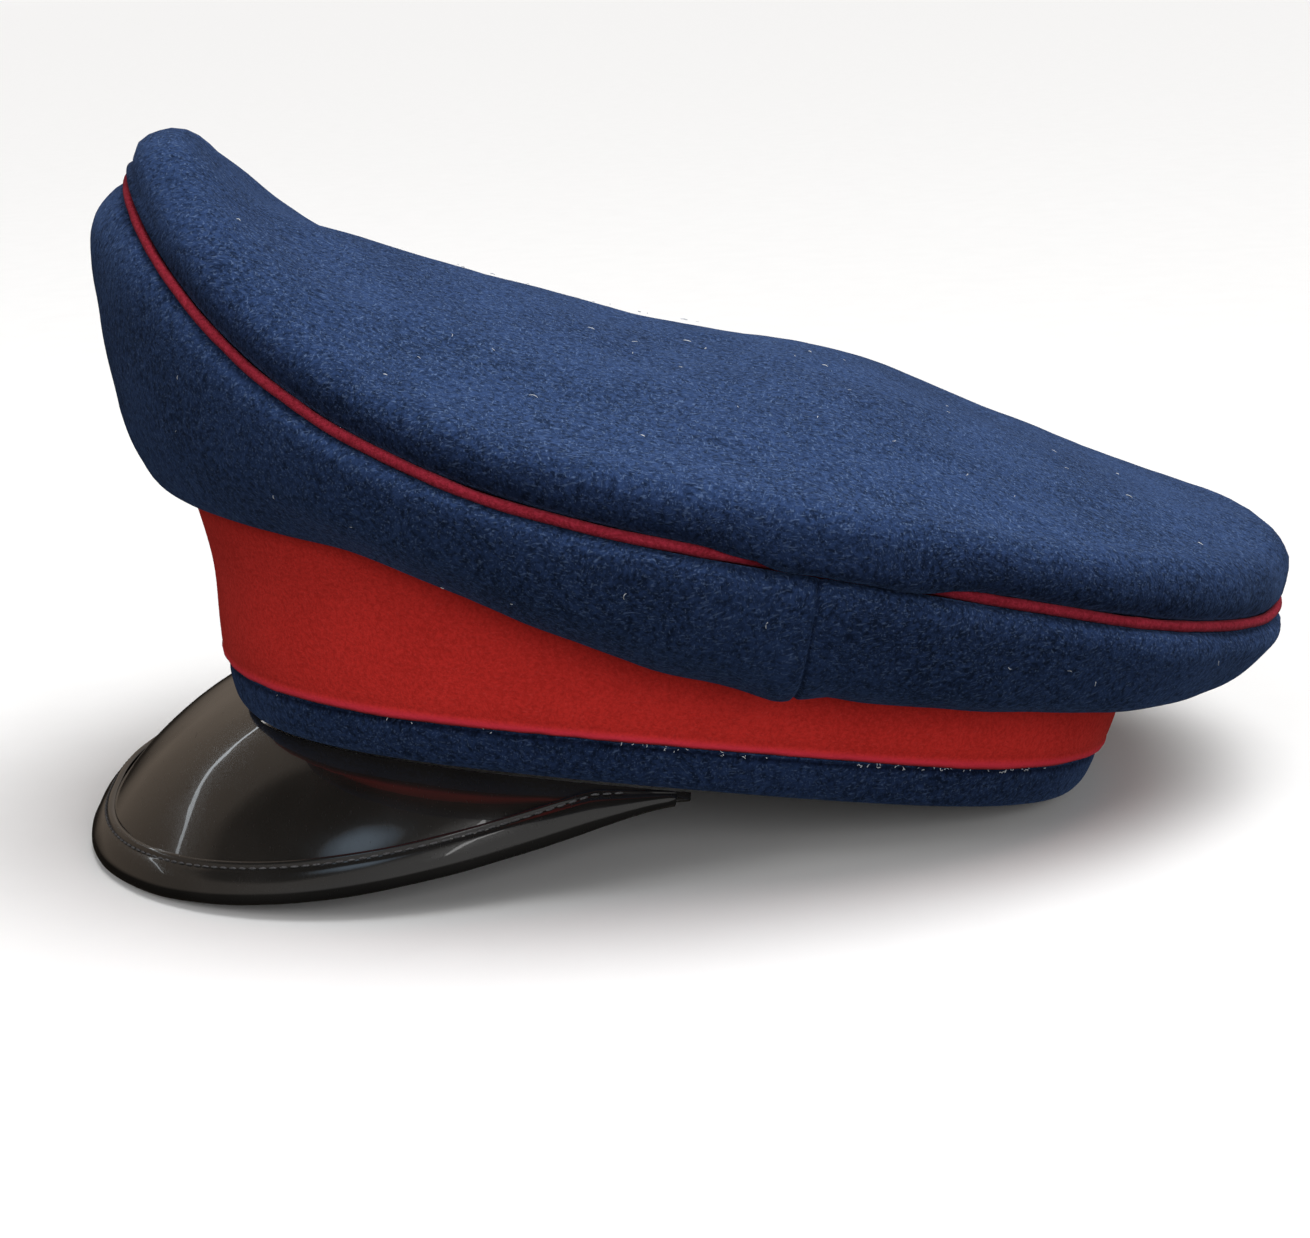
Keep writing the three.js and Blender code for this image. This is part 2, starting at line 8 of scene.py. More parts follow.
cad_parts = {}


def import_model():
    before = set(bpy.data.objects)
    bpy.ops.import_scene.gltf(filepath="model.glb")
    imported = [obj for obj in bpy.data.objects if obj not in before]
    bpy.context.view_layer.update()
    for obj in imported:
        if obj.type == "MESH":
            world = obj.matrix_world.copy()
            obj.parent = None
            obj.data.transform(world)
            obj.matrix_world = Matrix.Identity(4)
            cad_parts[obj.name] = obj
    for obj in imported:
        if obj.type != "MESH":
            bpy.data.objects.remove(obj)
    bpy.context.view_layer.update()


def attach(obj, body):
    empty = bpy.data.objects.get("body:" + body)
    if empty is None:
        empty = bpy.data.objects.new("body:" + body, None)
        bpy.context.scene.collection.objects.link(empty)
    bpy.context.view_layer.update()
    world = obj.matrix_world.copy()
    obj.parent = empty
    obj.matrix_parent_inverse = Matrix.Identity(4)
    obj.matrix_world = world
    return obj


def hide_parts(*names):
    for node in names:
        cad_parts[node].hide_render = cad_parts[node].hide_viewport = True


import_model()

D = math.pi / 180
MM = 0.001
TINY = 1e-9

# Pose of the cap on the table, as its solids have it: radians and millimetres
PITCH = -0.15868238
SHIFT = np.array([0.0, -8.03596, 22.14285])

# Band: half length, half width, power of its oval, how far back its middle lies, height at the sides,
# extra height at the front, flare, belly of the flare, arch of its lower edge
BAND_L, BAND_W, BAND_P, BAND_BACK = 105.5, 85.5, 2.5, 1.4
BAND_H, BAND_RISE, FLARE, BELLY, ARCH = 47.0, 6.5, 13.0, 0.9, 6.0
# The band's sheet, and how far it stands proud of the welt
WALL, PROUD = 3.2, 0.9
# Welt: height, sheet, height and sheet of its tongue behind the band, gap to the band
WELT_H, WELT_WALL, TONGUE, TONGUE_WALL, GAP_WELT = 11.0, 3.2, 4.5, 1.4, 0.35
# Crown: half length, half width, how far back its middle lies
CROWN_L, CROWN_W, CROWN_BACK = 146.0, 127.0, 4.6
# Seam of the crown: height at front, side and back, front sweep, dip between
SEAM_F, SEAM_S, SEAM_B, SWEEP, DIP = 117.5, 62.2, 44.9, 6.0, 5.3
# Cloth of the crown, its gap over the band, the turn of the side seam in degrees from the front
CLOTH, GAP_FOOT, SIDE_SEAM = 2.2, 0.15, 96.0
SEAMS = (0.0, SIDE_SEAM, 180.0, 360 - SIDE_SEAM)
# Where the seam is drawn in: depth, turn and width in degrees
TUCK, TUCK_AT, TUCK_W = 2.6, 107.0, 13.0
# Rolled rim of the top: width, height, share of the height at its waist; the dome over it and its hump
ROLL_W, ROLL_H, WAIST, DOME = 13.0, 14.0, 0.42, 20.0
HUMP, HUMP_Y, HUMP_W = 4.5, 34.0, 30.0
# Radius of the piping
CORD = 1.25
# Where the rim hangs over the piping: turn, half width in degrees, how far out and down it sags
HANG_AT, HANG_W, HANG_OUT, HANG_DOWN = 98.0, 10.0, 1.5, 3.5
# Peak: reach, slope at the front and the sides, half turn, fullness and taper of its outline, bulge,
# sheet, and how far its root is set into the welt
PEAK_L, PEAK_SF, PEAK_SS, PEAK_TURN = 49.5, 46.5, 44.0, 92.5
PEAK_FULL, PEAK_TAPER, PEAK_BULGE, PEAK_T, PEAK_SEAT = 2.7, 1.2, 3.5, 2.0, 1.0
# Binding: gap to the sheet, its leather, its nose, its width, the share of the half turn where it ends
GAP, STRIP, NOSE, WIDE, BIND_END = 0.3, 1.25, 1.9, 8.0, 0.968
# Stitches: distance from the edge, pitch, length, radius
STITCH_IN, STITCH_PITCH, STITCH_L, STITCH_R = 5.9, 2.7, 2.0, 0.3

# Crown side by turn: places of its low fold, its middle and its fullest line, as shares out and up
SIDE = np.array([
    [0, 0.42, -0.02, 0.93, 0.32, 1.27, 0.83],
    [25, 0.41, -0.02, 0.92, 0.32, 1.21, 0.82],
    [50, 0.37, -0.02, 0.9, 0.32, 1.12, 0.78],
    [75, 0.32, 0.2, 0.82, 0.26, 1.05, 0.71],
    [96, 0.29, 0.395, 0.72, 0.18, 1.01, 0.62],
    [118, 0.29, 0.38, 0.72, 0.14, 1.0, 0.58],
    [145, 0.28, 0.34, 0.72, 0.08, 1.0, 0.54],
    [180, 0.28, 0.22, 0.73, 0.08, 1.0, 0.54]])
# Rolled rim by turn: how far out, how wide and how high, as shares
RIM = np.array([
    [0, -0.26, 0.72, 0.78],
    [45, 0.0, 0.92, 0.79],
    [80, 0.14, 1.0, 0.96],
    [107, 0.26, 1.1, 1.0],
    [135, 0.16, 1.1, 1.07],
    [180, 0.1, 1.1, 1.26]])
# Dome by distance from its middle: height towards the front and the back, as shares
DOMES = np.array([
    [0, 1, 1],
    [0.3, 0.84, 1.02],
    [0.55, 0.66, 0.98],
    [0.75, 0.53, 0.88],
    [0.9, 0.5, 0.71]])


# Curves and forms
def hermite(u):
    """Weights of a cubic between two points: of the points, then of their slopes."""
    return 2*u**3 - 3*u*u + 1, 3*u*u - 2*u**3, u**3 - 2*u*u + u, u**3 - u*u


def bell(x, width):
    return np.exp(-(x / width)**2)


def between(row, low, high):
    """1 inside a stretch of the rows and 0 outside; low and high are (place, width of the change)."""
    return np.clip((row - low[0]) / low[1], 0, 1) * np.clip((high[0] - row) / high[1], 0, 1)


def table(rows, at, col):
    """A column of a table at any place, on a smooth curve."""
    n = len(rows) - 1
    i = 0
    while i < n - 1 and rows[i + 1][0] < at:
        i += 1
    span = rows[i + 1][0] - rows[i][0]
    u = min(1.0, max(0.0, (at - rows[i][0]) / span))

    def slope(k):
        if k in (0, n):
            return 0.0
        return (rows[k + 1][col] - rows[k - 1][col]) / (rows[k + 1][0] - rows[k - 1][0])
    at_a, at_b, slope_a, slope_b = hermite(u)
    return at_a*rows[i][col] + at_b*rows[i + 1][col] + span*(slope_a*slope(i) + slope_b*slope(i + 1))


def oval(length, width, power, back, a):
    s, c, e = math.sin(a), math.cos(a), 2 / power
    return np.array([width*math.copysign(abs(s)**e, s), back - length*math.copysign(abs(c)**e, c)])


def band_normal(a):
    x, y = oval(BAND_L, BAND_W, BAND_P, 0, a)
    k = BAND_P - 1
    n = np.array([math.copysign(abs(x / BAND_W)**k, x) / BAND_W,
                  math.copysign(abs(y / BAND_L)**k, y) / BAND_L])
    return n / np.linalg.norm(n)


def flare(h):
    s = h / BAND_H
    return FLARE*s + BELLY*math.sin(2*math.pi*s)


def band_point(a, out, up):
    p, n = oval(BAND_L, BAND_W, BAND_P, 0, a), band_normal(a)
    return np.array([p[0] + n[0]*out, p[1] + BAND_BACK + n[1]*out, -ARCH*math.cos(a)**2 + up])


def band_top(a):
    return BAND_H + BAND_RISE*((1 + math.cos(a)) / 2)**2


def turn_of(a):
    """Degrees from the front, 0 to 180, on either side."""
    t = abs(a / D) % 360
    return 360 - t if t > 180 else t


def past(angles, seam_turn):
    """Degrees past a seam, -180 to 180."""
    return (angles / D - seam_turn + 180) % 360 - 180


def seam_z(a, r):
    """Height of the saddle that the crown's seam lies on, at a share r of its radius."""
    mid = (SEAM_F + SEAM_B) / 4 + SEAM_S / 2
    tilt = (SEAM_F - SEAM_B) / 2 - SWEEP
    return (mid + tilt*r*math.cos(a) + (mid - SEAM_S)*r*r*math.cos(2*a)
            + SWEEP*r**3*math.cos(3*a) + DIP*r**4*(math.cos(4*a) - 1) / 2)


def seam(a):
    drawn = TUCK*bell(turn_of(a) - TUCK_AT, TUCK_W)
    x, y = oval(CROWN_L - drawn, CROWN_W - drawn, 2, CROWN_BACK, a)
    return np.array([x, y, seam_z(a, 1)])


def smooth(points, n, steps=24):
    """Centripetal curve through the points, evenly sampled at n + 1 places."""
    p = np.array(points, float)
    p = np.vstack([2*p[0] - p[1], p, 2*p[-1] - p[-2]])
    out = []
    for i in range(1, len(p) - 2):
        d = [max(1e-4, np.linalg.norm(p[j+1] - p[j]))**0.5 for j in (i-1, i, i+1)]
        m1 = ((p[i]-p[i-1])/d[0] - (p[i+1]-p[i-1])/(d[0]+d[1]) + (p[i+1]-p[i])/d[1]) * d[1]
        m2 = ((p[i+1]-p[i])/d[1] - (p[i+2]-p[i])/(d[1]+d[2]) + (p[i+2]-p[i+1])/d[2]) * d[1]
        for u in np.linspace(0, 1, steps, endpoint=False):
            at_a, at_b, slope_a, slope_b = hermite(u)
            out.append(at_a*p[i] + slope_a*m1 + at_b*p[i+1] + slope_b*m2)
    out.append(p[-2])
    out = np.array(out)
    s = np.concatenate([[0], np.cumsum(np.linalg.norm(np.diff(out, axis=0), axis=1))])
    t = np.linspace(0, s[-1], n + 1)
    return np.stack([np.interp(t, s, out[:, k]) for k in range(2)], 1)


def faces_of(line, thick):
    """The two faces of a sheet along a line."""
    d = np.gradient(line, axis=0)
    n = np.stack([d[:, 1], -d[:, 0]], 1)
    n /= np.linalg.norm(n, axis=1, keepdims=True)
    return line + n*thick/2, line - n*thick/2


def world(p):
    """From the cap's own frame in millimetres to the row frame in metres, kept on the table."""
    p = np.asarray(p, float).reshape(-1, 3)
    c, s = math.cos(PITCH), math.sin(PITCH)
    q = np.stack([p[:, 0], p[:, 1]*c - p[:, 2]*s, p[:, 1]*s + p[:, 2]*c], 1) + SHIFT
    q[:, 2] = np.maximum(q[:, 2], 0.0)
    return q * MM


def wave(p, size, seed, waves=14):
    """Smooth random field at points, about -1 to 1; size is its wavelength."""
    r = np.random.RandomState(seed)
    v = np.zeros(len(p))
    for _ in range(waves):
        k = r.normal(size=3)
        k = k / np.linalg.norm(k) * 2*math.pi / size * r.uniform(0.6, 1.5)
        v += np.sin(p @ k + r.uniform(0, 6.28))
    return v / math.sqrt(waves) * 0.9


def uneven(grid, *layers):
    """Slow unevenness over a grid of points; each layer is (wavelength, depth, seed)."""
    flat = grid.reshape(-1, 3)
    return sum(depth*wave(flat, size, seed) for size, depth, seed in layers).reshape(grid.shape[:2])


def outer_grid(sections):
    """The outer rows of the sections, and how far along each row a point is, 0 to 1."""
    grid = np.array([s[0] for s in sections])
    return grid, np.linspace(0, 1, grid.shape[1])[None, :]


# Pieces
def outward(o):
    """Turns the piece's faces outwards."""
    bm = bmesh.new()
    bm.from_mesh(o.data)
    bmesh.ops.recalc_face_normals(bm, faces=bm.faces)
    bm.to_mesh(o.data)
    bm.free()


def add(name, verts, faces, mat, uvs=None, attr=None):
    """A piece that rides the cap's one body."""
    me = bpy.data.meshes.new(name)
    me.from_pydata([tuple(v) for v in verts], [], [tuple(int(i) for i in f) for f in faces])
    me.validate()
    if uvs is not None:
        layer = me.uv_layers.new(name="UVMap")
        idx = np.empty(len(me.loops), dtype=np.int32)
        me.loops.foreach_get("vertex_index", idx)
        layer.data.foreach_set("uv", np.asarray(uvs, dtype=np.float32)[idx].ravel())
    for key, val in (attr or {}).items():
        a = me.attributes.new(key, "FLOAT", "POINT")
        a.data.foreach_set("value", np.asarray(val, dtype=np.float32))
    me.shade_smooth()
    o = bpy.data.objects.new(name, me)
    bpy.context.scene.collection.objects.link(o)
    me.materials.append(mat)
    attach(o, "root")
    outward(o)
    return o


# Length of a full turn in the texture's own measure, in metres
TURN_UV = 0.8


def ring_faces(n, m, loop=True):
    """Quads between n rings of m points; loop joins the last ring to the first."""
    rings, points = np.meshgrid(np.arange(n if loop else n - 1), np.arange(m), indexing="ij")
    rings, points = rings.ravel(), points.ravel()
    here, ahead, over = rings*m, ((rings + 1) % n)*m, (points + 1) % m
    return np.stack([here + points, ahead + points, ahead + over, here + over], 1)


def shell(name, sections, mat, loop=True, attr=None, relief=None):
    """A closed shell from (outer, inner) rows. relief moves the outer rows outwards along their normals."""
    outer = np.array([s[0] for s in sections])
    inner = np.array([s[1] for s in sections])
    if relief is not None:
        along = np.roll(outer, -1, 0) - np.roll(outer, 1, 0) if loop else np.gradient(outer, axis=0)
        normal = np.cross(along, np.gradient(outer, axis=1))
        normal /= np.maximum(np.linalg.norm(normal, axis=2, keepdims=True), TINY)
        away = np.sign(np.sum(normal * (outer - inner)))
        outer = outer + normal*away*relief[..., None]
    n, m = outer.shape[:2]
    both = np.concatenate([outer, inner[:, ::-1]], 1)
    step = np.linalg.norm(np.diff(both, axis=1), axis=2)
    v = np.concatenate([np.zeros((n, 1)), np.cumsum(step, 1)], 1) * MM
    u = np.repeat(np.linspace(0, TURN_UV, n)[:, None], 2*m, 1)
    faces = list(ring_faces(n, 2*m, loop))
    if not loop:
        for base, turn in ((0, False), ((n-1)*2*m, True)):
            for i in range(m - 1):
                q = [base+i, base+i+1, base+2*m-2-i, base+2*m-1-i]
                faces.append(np.array(q[::-1] if turn else q))
    data = {key: np.concatenate([val, val[:, ::-1]], 1).ravel() for key, val in (attr or {}).items()}
    return add(name, world(both), faces, mat, np.stack([u.ravel(), v.ravel()], 1), data)


# Materials. Each kind of surface is a node group or a function, so pieces of one stuff share its nodes.
COLOUR, FLOAT, VECTOR = "NodeSocketColor", "NodeSocketFloat", "NodeSocketVector"
BLACK, WHITE = (0, 0, 0), (1, 1, 1)


def node(tree, kind, ins=None, **props):
    n = tree.nodes.new(kind)
    for k, v in props.items():
        setattr(n, k, v)
    for k, v in (ins or {}).items():
        if isinstance(v, bpy.types.NodeSocket):
            tree.links.new(v, n.inputs[k])
        else:
            n.inputs[k].default_value = v
    return n


def ramp(tree, fac, stops):
    r = node(tree, "ShaderNodeValToRGB", {"Fac": fac})
    e = r.color_ramp.elements
    while len(e) < len(stops):
        e.new(0.5)
    for el, (pos, grey) in zip(e, stops):
        el.position, el.color = pos, (grey, grey, grey, 1)
    return r.outputs["Color"]


def level(tree, fac, lo, hi, a=0.0, b=1.0):
    ins = {"Value": fac, "From Min": lo, "From Max": hi, "To Min": a, "To Max": b}
    return node(tree, "ShaderNodeMapRange", ins).outputs["Result"]


def maths(tree, op, a, b):
    return node(tree, "ShaderNodeMath", {0: a, 1: b}, operation=op).outputs[0]


def weighed(tree, a, b, share):
    """a + share * b"""
    return maths(tree, "ADD", a, maths(tree, "MULTIPLY", b, share))


def vector(tree, op, ins):
    return node(tree, "ShaderNodeVectorMath", ins, operation=op).outputs


def mixc(tree, fac, a, b, blend="MIX"):
    n = node(tree, "ShaderNodeMix", {}, data_type="RGBA", blend_type=blend)
    for i, v in ((0, fac), (6, a), (7, b)):
        if isinstance(v, bpy.types.NodeSocket):
            tree.links.new(v, n.inputs[i])
        else:
            n.inputs[i].default_value = v if i == 0 else (*v, 1)
    return n.outputs[2]


def noise(tree, vec, scale, detail=2.0, rough=0.5, dist=0.0):
    ins = {"Vector": vec, "Scale": scale, "Detail": detail, "Roughness": rough, "Distortion": dist}
    return node(tree, "ShaderNodeTexNoise", ins).outputs["Fac"]


def drawn_out(tree, vec, rotation, scale, detail):
    """Noise drawn out along one direction."""
    ins = {"Vector": vec, "Rotation": rotation, "Scale": scale}
    return noise(tree, node(tree, "ShaderNodeMapping", ins).outputs[0], 1.0, detail)


def object_place(tree):
    return node(tree, "ShaderNodeTexCoord").outputs["Object"]


def new_group(name, ins, outs):
    g = bpy.data.node_groups.new(name, "ShaderNodeTree")
    for n, kind, val in ins:
        g.interface.new_socket(name=n, in_out="INPUT", socket_type=kind).default_value = val
    for n, kind in outs:
        g.interface.new_socket(name=n, in_out="OUTPUT", socket_type=kind)
    return g, g.nodes.new("NodeGroupInput").outputs, g.nodes.new("NodeGroupOutput").inputs


def make_wool():
    """Milled wool: a matted nap with a fine grain, soft mottling and a few lighter hairs."""
    clear = (0, 0, 0, 1)
    t, i, o = new_group("milled_wool", [
        ("Dark", COLOUR, clear), ("Mid", COLOUR, clear), ("Light", COLOUR, clear), ("Nap", COLOUR, clear),
        ("Grain", FLOAT, 1.0), ("Hairs", FLOAT, 0.5), ("Relief", FLOAT, 0.5)],
        [("Color", COLOUR), ("Sheen", COLOUR), ("Normal", VECTOR)])
    place = vector(t, "SCALE", {0: object_place(t), "Scale": i["Grain"]})["Vector"]
    # a slow warp lays the nap in changing directions
    warp = node(t, "ShaderNodeTexNoise", {"Vector": place, "Scale": 60.0, "Detail": 1.0}).outputs["Color"]
    off = vector(t, "SUBTRACT", {0: warp, 1: (0.5, 0.5, 0.5)})[0]
    off = vector(t, "SCALE", {0: off, "Scale": 0.006})[0]
    laid = vector(t, "ADD", {0: place, 1: off})[0]
    fine = noise(t, laid, 1150.0, 3.0, 0.6, 0.4)
    mottle = noise(t, laid, 620.0, 2.0, 0.55, 0.3)
    slow = noise(t, place, 34.0, 2.0, 0.5)
    # hairs lie along two crossing directions
    hair = maths(t, "MAXIMUM", drawn_out(t, laid, (0.3, 0.5, 0.9), (520.0, 1900.0, 1500.0), 1.0),
                 drawn_out(t, laid, (1.1, -0.4, -0.5), (1800.0, 560.0, 1600.0), 1.0))
    body = maths(t, "ADD", maths(t, "MULTIPLY", fine, 0.5), maths(t, "MULTIPLY", mottle, 0.5))
    body = maths(t, "ADD", body, level(t, slow, 0.3, 0.7, -0.035, 0.035))
    cloth = mixc(t, level(t, body, 0.38, 0.6), i["Dark"], i["Mid"])
    shown = maths(t, "MULTIPLY", level(t, hair, 0.6, 0.78), i["Hairs"])
    t.links.new(mixc(t, shown, cloth, i["Light"]), o["Color"])
    t.links.new(mixc(t, level(t, body, 0.38, 0.6, 0.4, 1.0), BLACK, i["Nap"]), o["Sheen"])
    height = maths(t, "ADD", maths(t, "MULTIPLY", hair, 0.5), weighed(t, mottle, fine, 0.6))
    bump = node(t, "ShaderNodeBump", {"Strength": i["Relief"], "Distance": 0.0006, "Height": height})
    t.links.new(bump.outputs[0], o["Normal"])
    return t


WOOL = make_wool()


def material(name, rough, **props):
    m = bpy.data.materials.new(name)
    m.use_nodes = True
    t = m.node_tree
    p = t.nodes["Principled BSDF"]
    p.inputs["Roughness"].default_value = rough
    for k, v in props.items():
        p.inputs[k.replace("_", " ")].default_value = v
    return m, t, p


def wool(name, dark, mid, light, grain, hairs, relief, sheen, tint, shade):
    """A wool cloth; shade changes its colour over the piece."""
    m, t, p = material(name, 0.95, Sheen_Weight=sheen, Sheen_Roughness=0.5, Specular_IOR_Level=0.12)
    ins = {"Dark": (*dark, 1), "Mid": (*mid, 1), "Light": (*light, 1), "Nap": (*tint, 1),
           "Grain": grain, "Hairs": hairs, "Relief": relief}
    g = node(t, "ShaderNodeGroup", node_tree=WOOL)
    for k, v in ins.items():
        g.inputs[k].default_value = v
    t.links.new(g.outputs["Sheen"], p.inputs["Sheen Tint"])
    t.links.new(shade(t, g.outputs["Color"]), p.inputs["Base Color"])
    t.links.new(g.outputs["Normal"], p.inputs["Normal"])
    return m


def by_attr(t, name):
    return node(t, "ShaderNodeAttribute", attribute_name=name).outputs["Fac"]


def painted_top_light_and_seam_shade(t, col):
    """Painted light and shade: pales the cloth a little where it faces up, and darkens it in its seams and
    creases.
    """
    facing = node(t, "ShaderNodeNewGeometry").outputs["True Normal"]
    up = node(t, "ShaderNodeSeparateXYZ", {0: facing}).outputs["Z"]
    # painted light: faces turned up are made paler
    col = mixc(t, level(t, up, 0.35, 1.0), col, (1.85, 1.85, 1.8), "MULTIPLY")
    # painted shade: seams and creases are darkened
    return mixc(t, by_attr(t, "painted_shade"), col, (0.25, 0.25, 0.3), "MULTIPLY")


def hem_highlight_and_shade(t, col):
    """Painted light and shade: the folded lower edge is a little pinker and lighter, and what lies under it
    darker.
    """
    # painted highlight along the folded lower edge
    col = mixc(t, by_attr(t, "hem_highlight"), col, (0.62, 0.035, 0.065))
    # painted shade under the fold and at the foot of the band
    return mixc(t, by_attr(t, "painted_shade"), col, (0.35, 0.2, 0.2), "MULTIPLY")


def plain(t, col):
    return col


navy = wool("navy_wool", dark=(0.0040, 0.0083, 0.022), mid=(0.0138, 0.0275, 0.074), light=(0.10, 0.15, 0.26),
            grain=1.1, hairs=0.4, relief=0.5, sheen=0.17, tint=(0.28, 0.48, 1.0), shade=painted_top_light_and_seam_shade)
red = wool("red_wool", dark=(0.42, 0.020, 0.016), mid=(0.56, 0.028, 0.023), light=(0.62, 0.06, 0.055),
           grain=1.5, hairs=0.3, relief=0.3, sheen=0.08, tint=(1, 0.4, 0.35), shade=hem_highlight_and_shade)
cordred = wool("piping_wool", dark=(0.15, 0.009, 0.016), mid=(0.25, 0.017, 0.032), light=(0.36, 0.05, 0.07),
               grain=1.6, hairs=0.35, relief=0.4, sheen=0.08, tint=(1, 0.4, 0.5), shade=plain)


def patent(name, base):
    """Patent leather: a clear coat that ripples slightly over a fine grain, with a few scuffs."""
    m, t, p = material(name, 0.22, Coat_Weight=1.0, Coat_Roughness=0.025, Coat_IOR=1.5,
                       Specular_IOR_Level=0.5)
    place = object_place(t)
    big = noise(t, place, 24.0, 2.0, 0.5, 0.3)
    mid = noise(t, place, 90.0, 2.0, 0.5)
    fine = noise(t, place, 900.0, 2.0, 0.6)
    scuff = drawn_out(t, place, (0.2, 0.4, 0.7), (120.0, 2200.0, 900.0), 2.0)
    dark, light = tuple(c*0.7 for c in base), tuple(c*1.4 for c in base)
    t.links.new(mixc(t, level(t, big, 0.35, 0.65), dark, light), p.inputs["Base Color"])
    rough = maths(t, "ADD", level(t, mid, 0.4, 0.7, 0.16, 0.26), level(t, scuff, 0.66, 0.76, 0.0, 0.25))
    t.links.new(rough, p.inputs["Roughness"])
    ins = {"Strength": 0.25, "Distance": 0.0012, "Height": weighed(t, big, mid, 0.12)}
    ripple = node(t, "ShaderNodeBump", ins).outputs[0]
    ins = {"Strength": 0.12, "Distance": 0.0001, "Height": weighed(t, fine, scuff, 0.5), "Normal": ripple}
    t.links.new(ripple, p.inputs["Coat Normal"])
    t.links.new(node(t, "ShaderNodeBump", ins).outputs[0], p.inputs["Normal"])
    return m


def thread(name, dark, light):
    m, t, p = material(name, 0.6)
    n = noise(t, object_place(t), 2600.0, 2.0, 0.6)
    t.links.new(mixc(t, level(t, n, 0.35, 0.65), dark, light), p.inputs["Base Color"])
    bump = node(t, "ShaderNodeBump", {"Strength": 0.5, "Distance": 0.0002, "Height": n})
    t.links.new(bump.outputs[0], p.inputs["Normal"])
    return m


patent_top = patent("patent_leather", (0.010, 0.009, 0.008))
patent_bind = patent("patent_binding", (0.008, 0.0075, 0.007))
black_thread = thread("black_thread", (0.03, 0.03, 0.032), (0.10, 0.10, 0.105))
lint_fibre = thread("lint_fibre", (0.35, 0.38, 0.42), (0.65, 0.68, 0.72))


# Crown side: one cloth ring, with its seams pressed in
def ring_angles(step, seams=()):
    """Angles all round, close together at the seams."""
    a = set(np.round(np.arange(0, 360, step), 3))
    for s in seams:
        for d in (0, 0.12, 0.25, 0.4, 0.6, 0.85, 1.15, 1.6):
            a.update((round((s+d) % 360, 3), round((s-d) % 360, 3)))
    return np.array(sorted(a)) * D


def side_line(a, n):
    """The middle line of the side's cloth at an angle, its foot on the band, and the way out from there."""
    t = turn_of(a)
    rows = SIDE[SIDE[:, 0] <= SIDE_SEAM] if t <= SIDE_SEAM else SIDE[SIDE[:, 0] >= SIDE_SEAM]
    low_out, low_down, mid_out, mid_up, full_out, full_up = (table(rows, t, c) for c in range(1, 7))
    top = band_top(a)
    foot = band_point(a, flare(top) + PROUD, top)
    edge = seam(a)
    way = edge[:2] - foot[:2]
    reach = np.linalg.norm(way)
    way = way / reach
    half = CLOTH / 2
    bottom = half + GAP_FOOT
    low = half - low_down*BAND_H
    # the side seam draws the lower fold up, and the cloth in front of it hangs a little lower
    low += 0.9*bell(t - SIDE_SEAM - 2.5, 2.2) - 1.5*bell(t - SIDE_SEAM + 1.6, 3.2)
    seam_up = edge[2] - foot[2] - CORD + 0.2
    rise = seam_up - low
    line = smooth([
        [0.6 - WALL, bottom],
        [1, bottom + 0.2],
        [half + 2.3, min(bottom - 0.4, low*0.2 + 0.6)],
        [low_out*reach, low],
        [mid_out*reach, low + mid_up*rise],
        [full_out*reach, low + full_up*rise],
        [reach + 1.7, seam_up - half - 2.6],
        [reach - 0.9, seam_up - half]], n)
    return line, foot, way


def side_section(a, n=56):
    line, foot, way = side_line(a, n)
    return [np.stack([foot[0] + way[0]*f[:, 0], foot[1] + way[1]*f[:, 0], foot[2] + f[:, 1]], 1)
            for f in faces_of(line, CLOTH)]


def seam_relief(pts, angles):
    """Depth of the pressed seams, and how deep in one a point is, a mask for painted shade, for a grid of
    points by angle.
    """
    radius = np.hypot(pts[..., 0], pts[..., 1])
    depth, inside = np.zeros(radius.shape), np.zeros(radius.shape)
    for s in SEAMS:
        mm = past(angles, s)[:, None] * D * radius
        depth += 0.25*bell(np.abs(mm) - 3.0, 2.0) - 0.75*bell(mm, 0.5)
        inside += 0.55*bell(mm, 0.4)
    return depth, np.clip(inside, 0, 1)


ang = ring_angles(1.0, SEAMS)
secs = [side_section(a) for a in ang]
grid, row = outer_grid(secs)
dep, painted_shade = seam_relief(grid, ang)
sag = uneven(grid, (70, 0.55, 1), (26, 0.22, 2), (11, 0.06, 3))
# small gathers where the cloth is drawn into the piped seam, and short pulls beside the side seams
pull = np.sin(ang*58 + 1.5*np.sin(ang*9))[:, None] * bell(1 - row, 0.09) * 0.1
for s in (SIDE_SEAM, 360 - SIDE_SEAM):
    mm = past(ang, s)[:, None] * D * 120
    pull = pull + 0.45*bell(mm + 9, 5.0)*np.sin(row*9 + 1)*bell(row - 0.62, 0.25)
relief = dep*between(row, (0.16, 0.06), (1.02, 0.05)) + (sag + pull)*between(row, (0.2, 0.15), (1.0, 0.04))
# painted shade in the pressed seams and along the upper edge, under the rolled rim
painted_shade = np.clip(painted_shade*0.8 + bell(1 - row, 0.03)*0.6, 0, 1)
side = shell("crown_side_cloth", secs, navy, attr={"painted_shade": painted_shade}, relief=relief)
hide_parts("quarter_front_left", "quarter_front_right", "quarter_back_left", "quarter_back_right")


# Crown top: a domed sheet with a rolled rim
def top_height(a, r):
    front = (1 + math.cos(a)) / 2
    rise = DOME * (table(DOMES, r, 1)*front + table(DOMES, r, 2)*(1 - front))
    y = CROWN_BACK - CROWN_L*r*math.cos(a)
    return seam_z(a, r) + rise + HUMP*bell(y - HUMP_Y, HUMP_W)*(1 - r**4)


def over_hang(t):
    """How far the rolled rim hangs over the piping, a little behind each side seam."""
    return math.exp(-(abs(t - HANG_AT) / HANG_W)**4)


